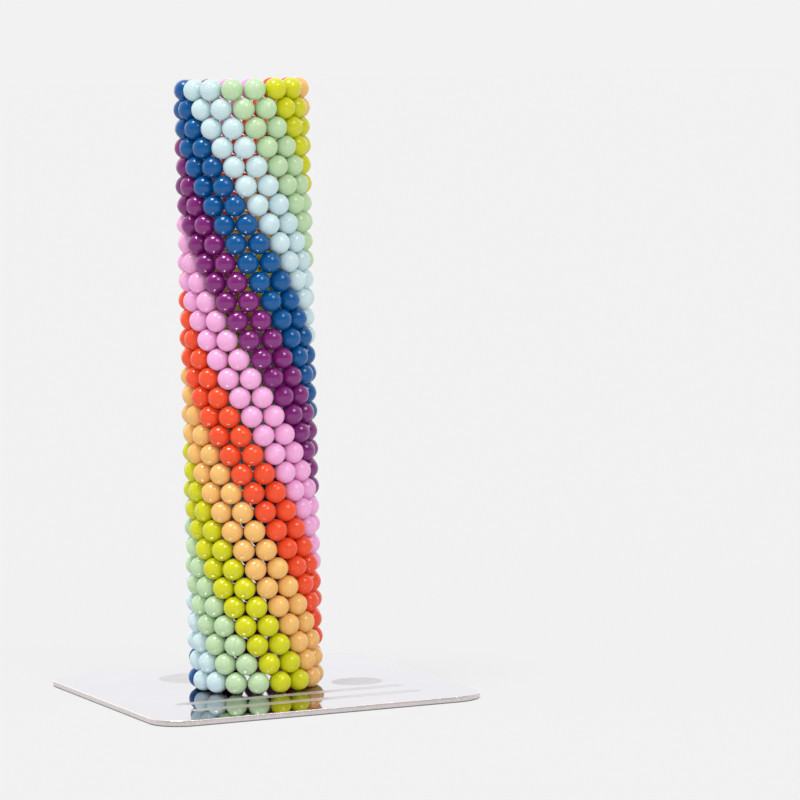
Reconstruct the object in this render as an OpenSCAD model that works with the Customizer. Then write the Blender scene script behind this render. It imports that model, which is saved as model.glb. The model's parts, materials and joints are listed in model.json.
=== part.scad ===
// Desk sculpture of small magnet balls: a hollow tower of stacked rings that
// stands on a thin polished steel plate. Each ring holds two balls of every
// colour, and each ring is turned half a ball from the one below, so the
// colours climb the tower as spiral bands. The tower stands by hand, a little to
// the left of the plate's middle.
// The origin is the centre of the plate's underside, and +Z is up.

/* [Magnet balls] */
// Diameter of one ball, with its coat
ball_d = 2.5; // [2.4:0.05:3]
// Gap between neighbouring balls of one ring
ring_gap = 0.04; // [0.01:0.01:0.1]
// Gap between a ball and the balls of the ring above it, or the plate below it
rest_gap = 0.01; // [0.01:0.01:0.03]

/* [Tower] */
// Balls of each colour side by side in one ring
balls_per_colour = 2; // [1:1:3]
// Rings in the foot, which turns on the plate
foot_rings = 2; // [1:1:4]
// Rings in each section above the foot
section_rings = 5; // [2:1:8]
// Angle of the foot ring's first ball, anticlockwise from the plate's front
first_ball_angle = -132; // [-180:1:180]
// Place of the tower's axis, to the right of the plate's centre
tower_x = -0.8; // [-2:0.1:2]

/* [Base plate] */
// Width of the square plate
plate_w = 39.5; // [30:0.1:60]
// Thickness of the plate
plate_t = 0.7; // [0.5:0.1:2]
// Radius of the plate's corners
plate_corner_r = 4; // [1:0.5:8]

/* [Hidden] */
// The coat colours, in their order round a ring to the right: a name for the
// nodes, and a colour
COLOURS = [
    ["dark_blue", [0.00, 0.29, 0.58]],
    ["light_blue", [0.78, 0.90, 0.92]],
    ["mint", [0.70, 0.88, 0.69]],
    ["lime", [0.84, 0.84, 0.12]],
    ["peach", [0.96, 0.74, 0.43]],
    ["red", [0.98, 0.29, 0.18]],
    ["pink", [0.96, 0.63, 0.88]],
    ["purple", [0.45, 0.12, 0.43]]
];
// The sections of the tower, from the plate up
SECTIONS = ["foot", "section_1", "section_2", "section_3", "section_4", "section_5", "section_6"];
function node_name(colour, section) = str(COLOURS[colour][0], "_balls_", SECTIONS[section]);

// Balls in one ring, and the angle from one ball to the next
balls_per_ring = len(COLOURS) * balls_per_colour;
ball_step = 360 / balls_per_ring;
// Radius of the circle through a ring's ball centres
ring_r = (ball_d + ring_gap) / (2 * sin(ball_step / 2));
// A ball rests between two balls of the ring below: how far it is from each of
// them in plan, and how far above them
nest_reach = 2 * ring_r * sin(ball_step / 4);
ring_pitch = sqrt(pow(ball_d + rest_gap, 2) - pow(nest_reach, 2));
// Height of the foot ring's ball centres
foot_z = plate_t + rest_gap + ball_d / 2;

// The rings of one section, counted from 0 at the plate
function first_ring(section) = section == 0 ? 0 : foot_rings + (section - 1) * section_rings;
function last_ring(section) = foot_rings + section * section_rings - 1;

// One magnet ball of a ring, counted anticlockwise from the ring's first ball
module ball(ring, place) {
    turn = first_ball_angle + place * ball_step - ring * ball_step / 2;
    translate([ring_r * sin(turn), -ring_r * cos(turn), foot_z + ring * ring_pitch])
        sphere(d = ball_d, $fn = 36);
}

// All the balls of one colour in one section of the tower
module balls(colour, section) {
    color(COLOURS[colour][1])
        translate([tower_x, 0, 0])
            for (ring = [first_ring(section) : last_ring(section)])
                for (i = [0 : balls_per_colour - 1])
                    ball(ring, colour * balls_per_colour + i);
}

// Thin square steel plate with round corners
module base_plate() {
    straight = plate_w - 2 * plate_corner_r;
    color([0.88, 0.88, 0.90])
        union() {
            translate([-straight / 2, -plate_w / 2, 0])
                cube([straight, plate_w, plate_t]);
            translate([-plate_w / 2, -straight / 2, 0])
                cube([plate_w, straight, plate_t]);
            for (x = [-1, 1], y = [-1, 1])
                translate([x * straight / 2, y * straight / 2, 0])
                    cylinder(r = plate_corner_r, h = plate_t, $fn = 64);
        }
}

base_plate();
for (section = [0 : len(SECTIONS) - 1], colour = [0 : len(COLOURS) - 1])
    balls(colour, section);
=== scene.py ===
"""Looks of a magnetic desk sculpture: a tower of coloured magnet balls on a polished steel plate.

Every ball stands where the frame has it, and rides on the body of its node. Lengths are in metres.
"""
import json
import math
import random

import bmesh
import bpy
import numpy as np
from mathutils import Matrix, Vector, geometry, noise

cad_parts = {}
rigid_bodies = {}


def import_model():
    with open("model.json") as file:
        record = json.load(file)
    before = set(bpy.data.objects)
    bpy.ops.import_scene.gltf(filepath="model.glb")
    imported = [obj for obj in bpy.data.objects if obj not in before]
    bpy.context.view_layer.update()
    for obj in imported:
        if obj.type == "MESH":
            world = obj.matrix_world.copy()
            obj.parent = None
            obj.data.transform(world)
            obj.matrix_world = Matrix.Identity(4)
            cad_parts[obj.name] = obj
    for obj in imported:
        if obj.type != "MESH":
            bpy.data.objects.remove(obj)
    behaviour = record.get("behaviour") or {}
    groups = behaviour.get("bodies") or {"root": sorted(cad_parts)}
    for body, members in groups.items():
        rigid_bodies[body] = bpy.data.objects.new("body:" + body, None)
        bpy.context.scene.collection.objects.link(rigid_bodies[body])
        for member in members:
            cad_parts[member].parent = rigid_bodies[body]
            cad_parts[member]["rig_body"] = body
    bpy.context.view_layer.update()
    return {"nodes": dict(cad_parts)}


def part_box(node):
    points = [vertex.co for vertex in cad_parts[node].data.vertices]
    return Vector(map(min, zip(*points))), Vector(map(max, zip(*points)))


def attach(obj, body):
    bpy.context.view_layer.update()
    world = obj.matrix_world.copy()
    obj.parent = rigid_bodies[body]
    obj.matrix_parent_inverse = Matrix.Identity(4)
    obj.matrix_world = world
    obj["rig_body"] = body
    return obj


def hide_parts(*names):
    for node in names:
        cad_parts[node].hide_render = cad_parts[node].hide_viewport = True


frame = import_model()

MM = 0.001

# ---------------------------------------------------------------- named values

# The coat of each colour: its sRGB from 0 to 255, and how strongly it shines
COATS = {
    "dark_blue": ((0, 86, 150), 0.46),
    "light_blue": ((203, 226, 230), 0.38),
    "mint": ((190, 218, 173), 0.38),
    "lime": ((209, 209, 20), 0.46),
    "peach": ((242, 188, 109), 0.42),
    "red": ((243, 81, 42), 0.40),
    "pink": ((244, 174, 220), 0.40),
    "purple": ((127, 28, 115), 0.66),
}

# Steel: the brightest and the dullest tint of the mirror top, the etched marks and the cut
# edge, the tint of the torn band at the edge's foot, which is also painted shadow where the plate
# meets the floor, and the heights between which that band fades out
MIRROR_TINTS = ((0.64, 0.62, 0.67, 1), (0.605, 0.587, 0.635, 1))
ETCHED_TINTS = ((0.60, 0.587, 0.597, 1), (0.555, 0.543, 0.552, 1))
EDGE_TINTS = ((0.76, 0.70, 0.69, 1), (0.63, 0.58, 0.57, 1))
# The torn band's dark tint is partly torn steel and partly painted shadow along the plate's foot on
# the floor
TORN_AND_SHADOW_TINT = (0.24, 0.24, 0.25, 1)
TORN_AND_SHADOW_HEIGHTS = (0.10 * MM, 0.18 * MM)
# How much of its mirroring steel keeps when it is seen nearly edge on
STEEL_EDGE_ON = (0.72, 0.72, 0.72, 1)

# The camera: where it stands, what it looks at, its roll in degrees, and its lens and sensor
# in millimetres
CAMERA_PLACE = Vector((-175.4, -441.6, 72.1)) * MM
CAMERA_AIM = Vector((16.17, -4.13, 32.96)) * MM
CAMERA_ROLL = 1.29
CAMERA_LENS = 187.8
SENSOR_WIDTH = 36.0

# The side that the camera stands on, as an angle from -Y towards +X
FRONT = math.atan2(CAMERA_PLACE.x, -CAMERA_PLACE.y)

# Balls: subdivisions of the sphere, how much thinner than the CAD ball a coat may be as a part
# of the radius, how many such waves go round, the angle over which a scuff fades out from the
# point where two balls meet, and how near two balls have to be for one, in ball diameters
BALL_LEVELS = 4
COAT_WAVE = 0.004
WAVES = 2.2
SCUFF_ANGLE = math.radians(11)
TOUCH = 1.08

# Plate: its corners' radius and the steps of one corner, the roll of its top edge and the
# steps of that, the depths where its torn band begins and is torn through, how far that band
# stands back, and the bevel at its foot
PLATE_CORNER = 4.0 * MM
CORNER_STEPS = 24
ROLL = 0.10 * MM
ROLL_STEPS = 5
TEAR_FROM = 0.32 * MM
TEAR_TO = 0.40 * MM
TEAR_BACK = 0.012 * MM
FOOT_BACK = 0.02 * MM
BURR = 0.05 * MM
# Its material slots after the first, which is the mirror top's
ETCHED, EDGE, UNDERSIDE = 1, 2, 3

# Etched marks on the plate's top: two round spots, each as x, y and radius, and a plain double line
SPOTS = [(10.4 * MM, -3.1 * MM, 2.95 * MM), (-4.7 * MM, 9.6 * MM, 4.2 * MM)]
LINES_Y = [-13.2 * MM, -8.4 * MM]
LINE_HALF = 13.0 * MM
LINE_WIDTH = 1.8 * MM
ETCH_DEPTH = 0.012 * MM

# The stage: its floor's size, and the one pale tone of floor and room
FLOOR_SIZE = 30.0
PALE = 0.887
# The floor is a lit table: part of its tone is its own glow
FLOOR_MATT = 0.15
FLOOR_GLOW = 0.710
# The room's light, from the camera's side to the side behind the object: as it lights
# matt surfaces, and as glossy ones mirror it
LIT_FRONT = 1.14
LIT_BACK = 0.22
MIRRORED_FRONT = 0.05
MIRRORED_BACK = 1.87
# Where each change from front to back begins and ends, as a cosine to the view
LIT_RAMP = (-0.5, 0.7)
MIRRORED_RAMP = (-0.9, 1.0)
# The lamps: azimuth, elevation and spread in degrees, then light on matt surfaces and shine
# on glossy ones. Azimuth 0 is the camera's side, and it grows to the camera's right
SOFTBOXES = {
    "main": (-53.0, 74.0, 20.0, 1.55, 2.7),
    "second": (37.0, 44.0, 24.0, 0.3, 1.06),
    "fill": (0.0, 8.0, 60.0, 0.35, 0.0),
}


# ------------------------------------------------------------------- materials


def linear(srgb):
    """A colour of 0 to 255 in sRGB, as the linear colour that shaders use."""
    values = [c / 255 for c in srgb]
    return [c / 12.92 if c <= 0.04045 else ((c + 0.055) / 1.055) ** 2.4 for c in values] + [1.0]


class Nodes:
    """Builds a material's node tree in few words."""

    def __init__(self, name):
        self.material = bpy.data.materials.new(name)
        self.material.use_nodes = True
        self.tree = self.material.node_tree
        self.tree.nodes.clear()
        self.bsdf = self.tree.nodes.new("ShaderNodeBsdfPrincipled")
        out = self.tree.nodes.new("ShaderNodeOutputMaterial")
        self.link(self.bsdf.outputs["BSDF"], out.inputs["Surface"])

    def link(self, a, b):
        self.tree.links.new(a, b)

    def set(self, node, values):
        """Sets inputs: another node's socket is linked, and any other value is set as it is."""
        for key, value in values.items():
            if isinstance(value, bpy.types.NodeSocket):
                self.link(value, node.inputs[key])
            else:
                node.inputs[key].default_value = value

    def new(self, kind, values=None, **attributes):
        """A node with its inputs and attributes set."""
        node = self.tree.nodes.new(kind)
        for key, value in attributes.items():
            setattr(node, key, value)
        self.set(node, values or {})
        return node

    def math(self, operation, a, b):
        return self.new("ShaderNodeMath", {0: a, 1: b}, operation=operation).outputs[0]

    def remap(self, value, from_low, from_high, to_low, to_high):
        """A value moved from one range to another, and kept within it."""
        values = {0: value, 1: from_low, 2: from_high, 3: to_low, 4: to_high}
        return self.new("ShaderNodeMapRange", values, clamp=True).outputs[0]

    def mix(self, factor, a, b):
        node = self.new("ShaderNodeMix", data_type="RGBA")
        self.set(node, {0: factor, 6: a, 7: b})
        return node.outputs[2]

    def noise(self, scale, detail, roughness, vector):
        values = {"Scale": scale, "Detail": detail, "Roughness": roughness, "Vector": vector}
        return self.new("ShaderNodeTexNoise", values).outputs["Fac"]

    def place(self):
        """Where a point is in the object's own space, which is the row frame at rest."""
        return self.new("ShaderNodeTexCoord").outputs["Object"]

    def attribute(self, name):
        return self.new("ShaderNodeAttribute", attribute_name=name).outputs["Fac"]


def coat_material(name, srgb, shine):
    """Gloss enamel over a magnet ball.

    It has fine pigment specks, a slightly uneven coat, and scuffs where balls meet.
    """
    n = Nodes(name)
    colour = linear(srgb)
    place = n.place()
    tone = n.attribute("tone")
    scuff = n.attribute("scuff")
    cloud = n.noise(900.0, 3.0, 0.55, place)
    speck = n.noise(9000.0, 1.0, 0.4, place)
    darker = [c * 0.82 for c in colour[:3]] + [1.0]
    paler = [min(1.0, c * 1.25 + 0.012) for c in colour[:3]] + [1.0]
    base = n.mix(n.remap(tone, 0.0, 1.0, 0.0, 0.30), colour, darker)
    base = n.mix(n.remap(cloud, 0.42, 0.72, 0.0, 0.22), base, darker)
    base = n.mix(n.remap(speck, 0.58, 0.74, 0.0, 0.6), base, paler)
    base = n.mix(n.remap(scuff, 0.0, 1.0, 0.0, 0.6), base, paler)
    gloss = n.remap(cloud, 0.3, 0.7, 0.15, 0.23)
    gloss = n.math("ADD", gloss, n.remap(scuff, 0.0, 1.0, 0.0, 0.3))
    peel = n.noise(4200.0, 2.0, 0.5, place)
    bump = n.new("ShaderNodeBump", {"Strength": 0.07, "Distance": 0.00001, "Height": peel})
    n.set(n.bsdf, {
        "Base Color": base,
        "Roughness": gloss,
        "Normal": bump.outputs["Normal"],
        "IOR": 1.48,
        "Specular IOR Level": shine,
    })
    return n.material


def mirror_material():
    """Polished steel top: a near mirror with faint smears and hairline scratches."""
    n = Nodes("polished_steel_top")
    place = n.place()
    smear = n.noise(95.0, 4.0, 0.6, place)
    stretched = n.new("ShaderNodeMapping", {"Vector": place, "Scale": (300.0, 9000.0, 300.0)})
    hairs = n.noise(1.0, 2.0, 0.6, stretched.outputs[0])
    bump = n.new("ShaderNodeBump", {"Strength": 0.02, "Distance": 0.00001, "Height": hairs})
    tint = n.mix(n.remap(smear, 0.35, 0.75, 0.0, 1.0), *MIRROR_TINTS)
    n.set(n.bsdf, {
        "Base Color": tint,
        "Metallic": 1.0,
        "Specular Tint": STEEL_EDGE_ON,
        "Roughness": n.remap(smear, 0.4, 0.8, 0.035, 0.085),
        "Normal": bump.outputs["Normal"],
    })
    return n.material


def frosted_material():
    """Etched marks and the underside: the same steel with a fine matt grain."""
    n = Nodes("etched_steel")
    place = n.place()
    grain = n.noise(14000.0, 3.0, 0.6, place)
    patch = n.noise(700.0, 2.0, 0.5, place)
    bump = n.new("ShaderNodeBump", {"Strength": 0.5, "Distance": 0.000004, "Height": grain})
    n.set(n.bsdf, {
        "Base Color": n.mix(n.remap(patch, 0.3, 0.7, 0.0, 1.0), *ETCHED_TINTS),
        "Metallic": 0.85,
        "Specular Tint": STEEL_EDGE_ON,
        "Roughness": n.remap(grain, 0.3, 0.7, 0.36, 0.5),
        "Normal": bump.outputs["Normal"],
    })
    return n.material


def edge_material():
    """Cut edge of the sheet: upright shear lines, bright above and torn grey below, the grey at the
    foot darkened as painted shadow where the plate meets the floor.
    """
    n = Nodes("sheared_edge")
    place = n.place()
    split = n.new("ShaderNodeSeparateXYZ", {"Vector": place})
    upright = n.new("ShaderNodeMapping", {"Vector": place, "Scale": (9000.0, 9000.0, 700.0)})
    lines = n.noise(1.0, 3.0, 0.6, upright.outputs[0])
    # Dark band at the foot of the edge: partly torn steel, partly painted shadow where the plate
    # meets the floor; it also makes the steel rougher there
    torn_and_shadow = n.remap(split.outputs["Z"], *TORN_AND_SHADOW_HEIGHTS, 1.0, 0.0)
    colour = n.mix(n.remap(lines, 0.35, 0.7, 0.0, 1.0), *EDGE_TINTS)
    colour = n.mix(torn_and_shadow, colour, TORN_AND_SHADOW_TINT)
    bump = n.new("ShaderNodeBump", {"Strength": 0.35, "Distance": 0.00001, "Height": lines})
    rough = n.math("ADD", n.remap(lines, 0.3, 0.7, 0.26, 0.40), n.remap(torn_and_shadow, 0.0, 1.0, 0.0, 0.22))
    n.set(n.bsdf, {
        "Base Color": colour,
        "Metallic": 0.9,
        "Roughness": rough,
        "Normal": bump.outputs["Normal"],
    })
    return n.material


def floor_material():
    """The pale table, which partly glows."""
    n = Nodes("pale_floor")
    n.set(n.bsdf, {
        "Base Color": (FLOOR_MATT, FLOOR_MATT, FLOOR_MATT, 1),
        "Roughness": 1.0,
        "Specular IOR Level": 0.0,
        "Emission Color": (1, 1, 1, 1),
        "Emission Strength": FLOOR_GLOW,
    })
    return n.material


# ----------------------------------------------------------------------- balls


def sphere_through(points):
    """Centre and radius of the sphere that passes through the points."""
    rows = np.hstack([2 * points, np.ones((len(points), 1))])
    answer = np.linalg.lstsq(rows, (points ** 2).sum(1), rcond=None)[0]
    centre = answer[:3]
    return Vector(centre), math.sqrt(answer[3] + centre @ centre)


def balls_of(node):
    """Centre and radius of every ball of a CAD node, lowest first."""
    mesh = bmesh.new()
    mesh.from_mesh(node.data)
    bmesh.ops.remove_doubles(mesh, verts=mesh.verts, dist=MM / 1000)
    seen = set()
    found = []
    for start in mesh.verts:
        if start in seen:
            continue
        seen.add(start)
        todo = [start]
        island = []
        while todo:
            vert = todo.pop()
            island.append(vert.co[:])
            for edge in vert.link_edges:
                other = edge.other_vert(vert)
                if other not in seen:
                    seen.add(other)
                    todo.append(other)
        found.append(sphere_through(np.array(island)))
    mesh.free()
    return sorted(found, key=lambda ball: (round(ball[0].z, 6), ball[0].x))


def unit_ball(levels):
    """Points and triangles of a fine ball of radius 1, with no poles."""
    mesh = bmesh.new()
    bmesh.ops.create_icosphere(mesh, subdivisions=levels, radius=1.0)
    mesh.verts.ensure_lookup_table()
    points = [v.co.normalized() for v in mesh.verts]
    faces = [[v.index for v in f.verts] for f in mesh.faces]
    mesh.free()
    return points, faces


POINTS, FACES = unit_ball(BALL_LEVELS)


def ball_piece(name, balls, neighbours, material, seed):
    """One mesh of detailed balls that share a colour and a body."""
    rng = random.Random(seed)
    verts = []
    faces = []
    tones = []
    scuffs = []
    for centre, radius in balls:
        turn = Matrix.Rotation(rng.uniform(0, math.tau), 3, Vector(rng.gauss(0, 1) for _ in range(3)))
        offset = Vector(rng.uniform(-50, 50) for _ in range(3))
        tone = rng.random()
        touching = [
            (other - centre).normalized()
            for other in neighbours
            if 0 < (other - centre).length < 2 * radius * TOUCH
        ]
        first = len(verts)
        for point in POINTS:
            way = turn @ point
            wave = 1 - COAT_WAVE * (0.5 + 0.5 * noise.noise(way * WAVES + offset))
            verts.append(centre + way * radius * wave)
            tones.append(tone)
            nearest = min((way.angle(t) for t in touching), default=math.pi)
            scuffs.append(max(0.0, 1.0 - nearest / SCUFF_ANGLE))
        faces.extend([first + i for i in face] for face in FACES)
    mesh = bpy.data.meshes.new(name)
    mesh.from_pydata(verts, [], faces)
    mesh.attributes.new("tone", "FLOAT", "POINT").data.foreach_set("value", tones)
    mesh.attributes.new("scuff", "FLOAT", "POINT").data.foreach_set("value", scuffs)
    mesh.shade_smooth()
    mesh.materials.append(material)
    piece = bpy.data.objects.new(name, mesh)
    bpy.context.scene.collection.objects.link(piece)
    return piece


def make_balls():
    """Replaces every ball node by a piece of detailed balls."""
    coats = {colour: coat_material(colour + "_enamel", *coat) for colour, coat in COATS.items()}
    colour_of = {}
    balls = {}
    for name, node in frame["nodes"].items():
        if "_balls_" in name:
            colour_of[name] = name.split("_balls_")[0]
            balls[name] = balls_of(node)
    centres = np.array([centre for row in balls.values() for centre, _ in row])
    for seed, name in enumerate(sorted(balls)):
        row = balls[name]
        reach = 4 * row[0][1]
        middle = np.array([centre for centre, _ in row])
        low = middle.min(0) - reach
        high = middle.max(0) + reach
        near = centres[((centres > low) & (centres < high)).all(1)]
        neighbours = [Vector(c) for c in near]
        colour = colour_of[name]
        piece = ball_piece(name + ".coated", row, neighbours, coats[colour], seed)
        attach(piece, frame["nodes"][name]["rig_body"])
        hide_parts(name)


# ----------------------------------------------------------------------- plate


def rounded_square(half, radius, steps):
    """Outline of a square with round corners, anticlockwise."""
    outline = []
    for corner in range(4):
        middle = math.pi / 4 + corner * math.pi / 2
        x = math.copysign(half - radius, math.cos(middle))
        y = math.copysign(half - radius, math.sin(middle))
        for i in range(steps + 1):
            a = middle - math.pi / 4 + i * math.pi / 2 / steps
            outline.append(Vector((x + radius * math.cos(a), y + radius * math.sin(a))))
    return outline


def disc(x, y, radius, steps=72):
    """Outline of a round spot, anticlockwise."""
    angles = [i * math.tau / steps for i in range(steps)]
    return [Vector((x + radius * math.cos(a), y + radius * math.sin(a))) for a in angles]


def bar(x0, x1, y, width, steps=10):
    """Outline of a straight bar along X with round ends."""
    r = width / 2
    angles = [-math.pi / 2 + i * math.pi / steps for i in range(steps + 1)]
    right = [Vector((x1 + r * math.cos(a), y + r * math.sin(a))) for a in angles]
    left = [Vector((x0 - r * math.cos(a), y - r * math.sin(a))) for a in angles]
    return right + left


def inside(point, loop):
    """Whether a point lies within a closed outline."""
    hit = False
    for a, b in zip(loop, loop[1:] + loop[:1]):
        if (a.y > point.y) != (b.y > point.y):
            if point.x < a.x + (point.y - a.y) * (b.x - a.x) / (b.y - a.y):
                hit = not hit
    return hit


def make_plate():
    """Thin steel plate with a rolled top edge, a sheared side and etched marks."""
    low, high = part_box("base_plate")
    half = (high.x - low.x) / 2
    # The side, from the top's edge down: rolled over, straight, torn, then under
    side = [(ROLL * (1 - math.sin(a)), high.z - ROLL * (1 - math.cos(a)))
            for a in (i * math.pi / 2 / ROLL_STEPS for i in range(ROLL_STEPS + 1))]
    side += [(0.0, high.z - TEAR_FROM), (TEAR_BACK, high.z - TEAR_TO)]
    side += [(FOOT_BACK, low.z + BURR), (FOOT_BACK + BURR, low.z)]
    mesh = bmesh.new()
    rings = []
    for inset, z in side:
        outline = rounded_square(half - inset, PLATE_CORNER - inset, CORNER_STEPS)
        rings.append([mesh.verts.new((p.x, p.y, z)) for p in outline])
    for upper, lower in zip(rings[:-1], rings[1:]):
        for i in range(len(upper)):
            j = (i + 1) % len(upper)
            face = mesh.faces.new((upper[j], upper[i], lower[i], lower[j]))
            face.material_index = EDGE
            face.smooth = True
    under = mesh.faces.new(list(reversed(rings[-1])))
    under.material_index = UNDERSIDE
    # The top, with the marks as sunk fields
    marks = [disc(*spot) for spot in SPOTS]
    marks += [bar(-LINE_HALF, LINE_HALF, y, LINE_WIDTH) for y in LINES_Y]
    loops = [[Vector(v.co.xy) for v in rings[0]]] + marks
    flat = [p for loop in loops for p in loop]
    edges = []
    start = 0
    for loop in loops:
        count = len(loop)
        edges += [(start + i, start + (i + 1) % count) for i in range(count)]
        start += count
    points, _, faces, _, _, _ = geometry.delaunay_2d_cdt(flat, edges, [], 1, 1e-9)
    border = len(rings[0])
    top = rings[0] + [mesh.verts.new((p.x, p.y, high.z)) for p in points[border:]]
    sunk = []
    for face in faces:
        made = mesh.faces.new([top[i] for i in face])
        middle = made.calc_center_median().xy
        if any(inside(middle, loop) for loop in marks):
            made.material_index = ETCHED
            sunk.append(made)
        if made.normal.z < 0:
            made.normal_flip()
    moved = bmesh.ops.inset_region(mesh, faces=sunk, thickness=ETCH_DEPTH, depth=-ETCH_DEPTH)
    for face in moved["faces"]:
        face.material_index = ETCHED
    bmesh.ops.recalc_face_normals(mesh, faces=mesh.faces)
    data = bpy.data.meshes.new("base_plate.polished")
    mesh.to_mesh(data)
    mesh.free()
    for material in (mirror_material(), frosted_material(), edge_material(), frosted_material()):
        data.materials.append(material)
    plate = bpy.data.objects.new("base_plate.polished", data)
    bpy.context.scene.collection.objects.link(plate)
    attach(plate, "base_plate")
    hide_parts("base_plate")


# ---------------------------------------------------------- stage, light, view


def make_floor():
    """A wide flat table at the height of the plate's underside."""
    mesh = bpy.data.meshes.new("floor")
    s = FLOOR_SIZE / 2
    mesh.from_pydata([(-s, -s, 0), (s, -s, 0), (s, s, 0), (-s, s, 0)], [], [(0, 1, 2, 3)])
    mesh.materials.append(floor_material())
    floor = bpy.data.objects.new("floor", mesh)
    bpy.context.scene.collection.objects.link(floor)


def softbox(name, azimuth, elevation, spread, light, shine):
    """A round soft light far away, given as its matt light and its shine on glossy surfaces."""
    a = FRONT + math.radians(azimuth)
    e = math.radians(elevation)
    way = Vector((math.sin(a) * math.cos(e), -math.cos(a) * math.cos(e), math.sin(e)))
    for part, strength in (("light", light), ("shine", shine)):
        if strength == 0:
            continue
        data = bpy.data.lights.new(name + "_" + part, "SUN")
        data.angle = math.radians(spread)
        data.energy = strength
        lamp = bpy.data.objects.new(name + "_" + part, data)
        lamp.rotation_euler = way.to_track_quat("Z", "Y").to_euler()
        lamp.visible_diffuse = part == "light"
        lamp.visible_glossy = part == "shine"
        bpy.context.scene.collection.objects.link(lamp)


def make_world():
    """A pale studio: one plain tone to the eye, and a soft room as light."""
    world = bpy.data.worlds.new("studio")
    world.use_nodes = True
    tree = world.node_tree
    tree.nodes.clear()

    def new(kind):
        return tree.nodes.new("ShaderNode" + kind)

    def room(ramp_ends, front, back):
        """A background that goes from one strength in front to another behind."""
        ramp = new("MapRange")
        ramp.interpolation_type = "SMOOTHSTEP"
        for key, value in enumerate((*ramp_ends, front, back), 1):
            ramp.inputs[key].default_value = value
        background = new("Background")
        tree.links.new(behind.outputs["Value"], ramp.inputs["Value"])
        tree.links.new(ramp.outputs["Result"], background.inputs["Strength"])
        return background

    def pick(factor, a, b):
        mix = new("MixShader")
        tree.links.new(factor, mix.inputs["Fac"])
        tree.links.new(a.outputs[0], mix.inputs[1])
        tree.links.new(b.outputs[0], mix.inputs[2])
        return mix

    behind = new("VectorMath")
    behind.operation = "DOT_PRODUCT"
    behind.inputs[1].default_value = (-math.sin(FRONT), math.cos(FRONT), 0.0)
    tree.links.new(new("TexCoord").outputs["Generated"], behind.inputs[0])
    ray = new("LightPath")
    seen = new("Background")
    seen.inputs["Color"].default_value = (PALE, PALE, PALE, 1)
    lit = room(LIT_RAMP, LIT_FRONT, LIT_BACK)
    mirrored = room(MIRRORED_RAMP, MIRRORED_FRONT, MIRRORED_BACK)
    light = pick(ray.outputs["Is Glossy Ray"], lit, mirrored)
    both = pick(ray.outputs["Is Camera Ray"], light, seen)
    tree.links.new(both.outputs[0], new("OutputWorld").inputs["Surface"])
    # The room has no small bright spot, so it needs no lamp-like sampling, which would mix
    # its two strengths
    world.cycles.sampling_method = "NONE"
    bpy.context.scene.world = world


def make_camera():
    """A long lens at the camera's place, slightly rolled."""
    data = bpy.data.cameras.new("camera")
    data.lens = CAMERA_LENS
    data.sensor_width = SENSOR_WIDTH
    data.clip_start = 0.01
    data.clip_end = 100.0
    camera = bpy.data.objects.new("camera", data)
    camera.location = CAMERA_PLACE
    look = (CAMERA_AIM - CAMERA_PLACE).to_track_quat("-Z", "Y").to_matrix()
    camera.rotation_euler = (look @ Matrix.Rotation(math.radians(-CAMERA_ROLL), 3, "Z")).to_euler()
    bpy.context.scene.collection.objects.link(camera)
    bpy.context.scene.camera = camera


make_camera()
make_world()
make_floor()
for name, values in SOFTBOXES.items():
    softbox(name, *values)
make_balls()
make_plate()
bpy.context.scene.view_settings.view_transform = "Standard"
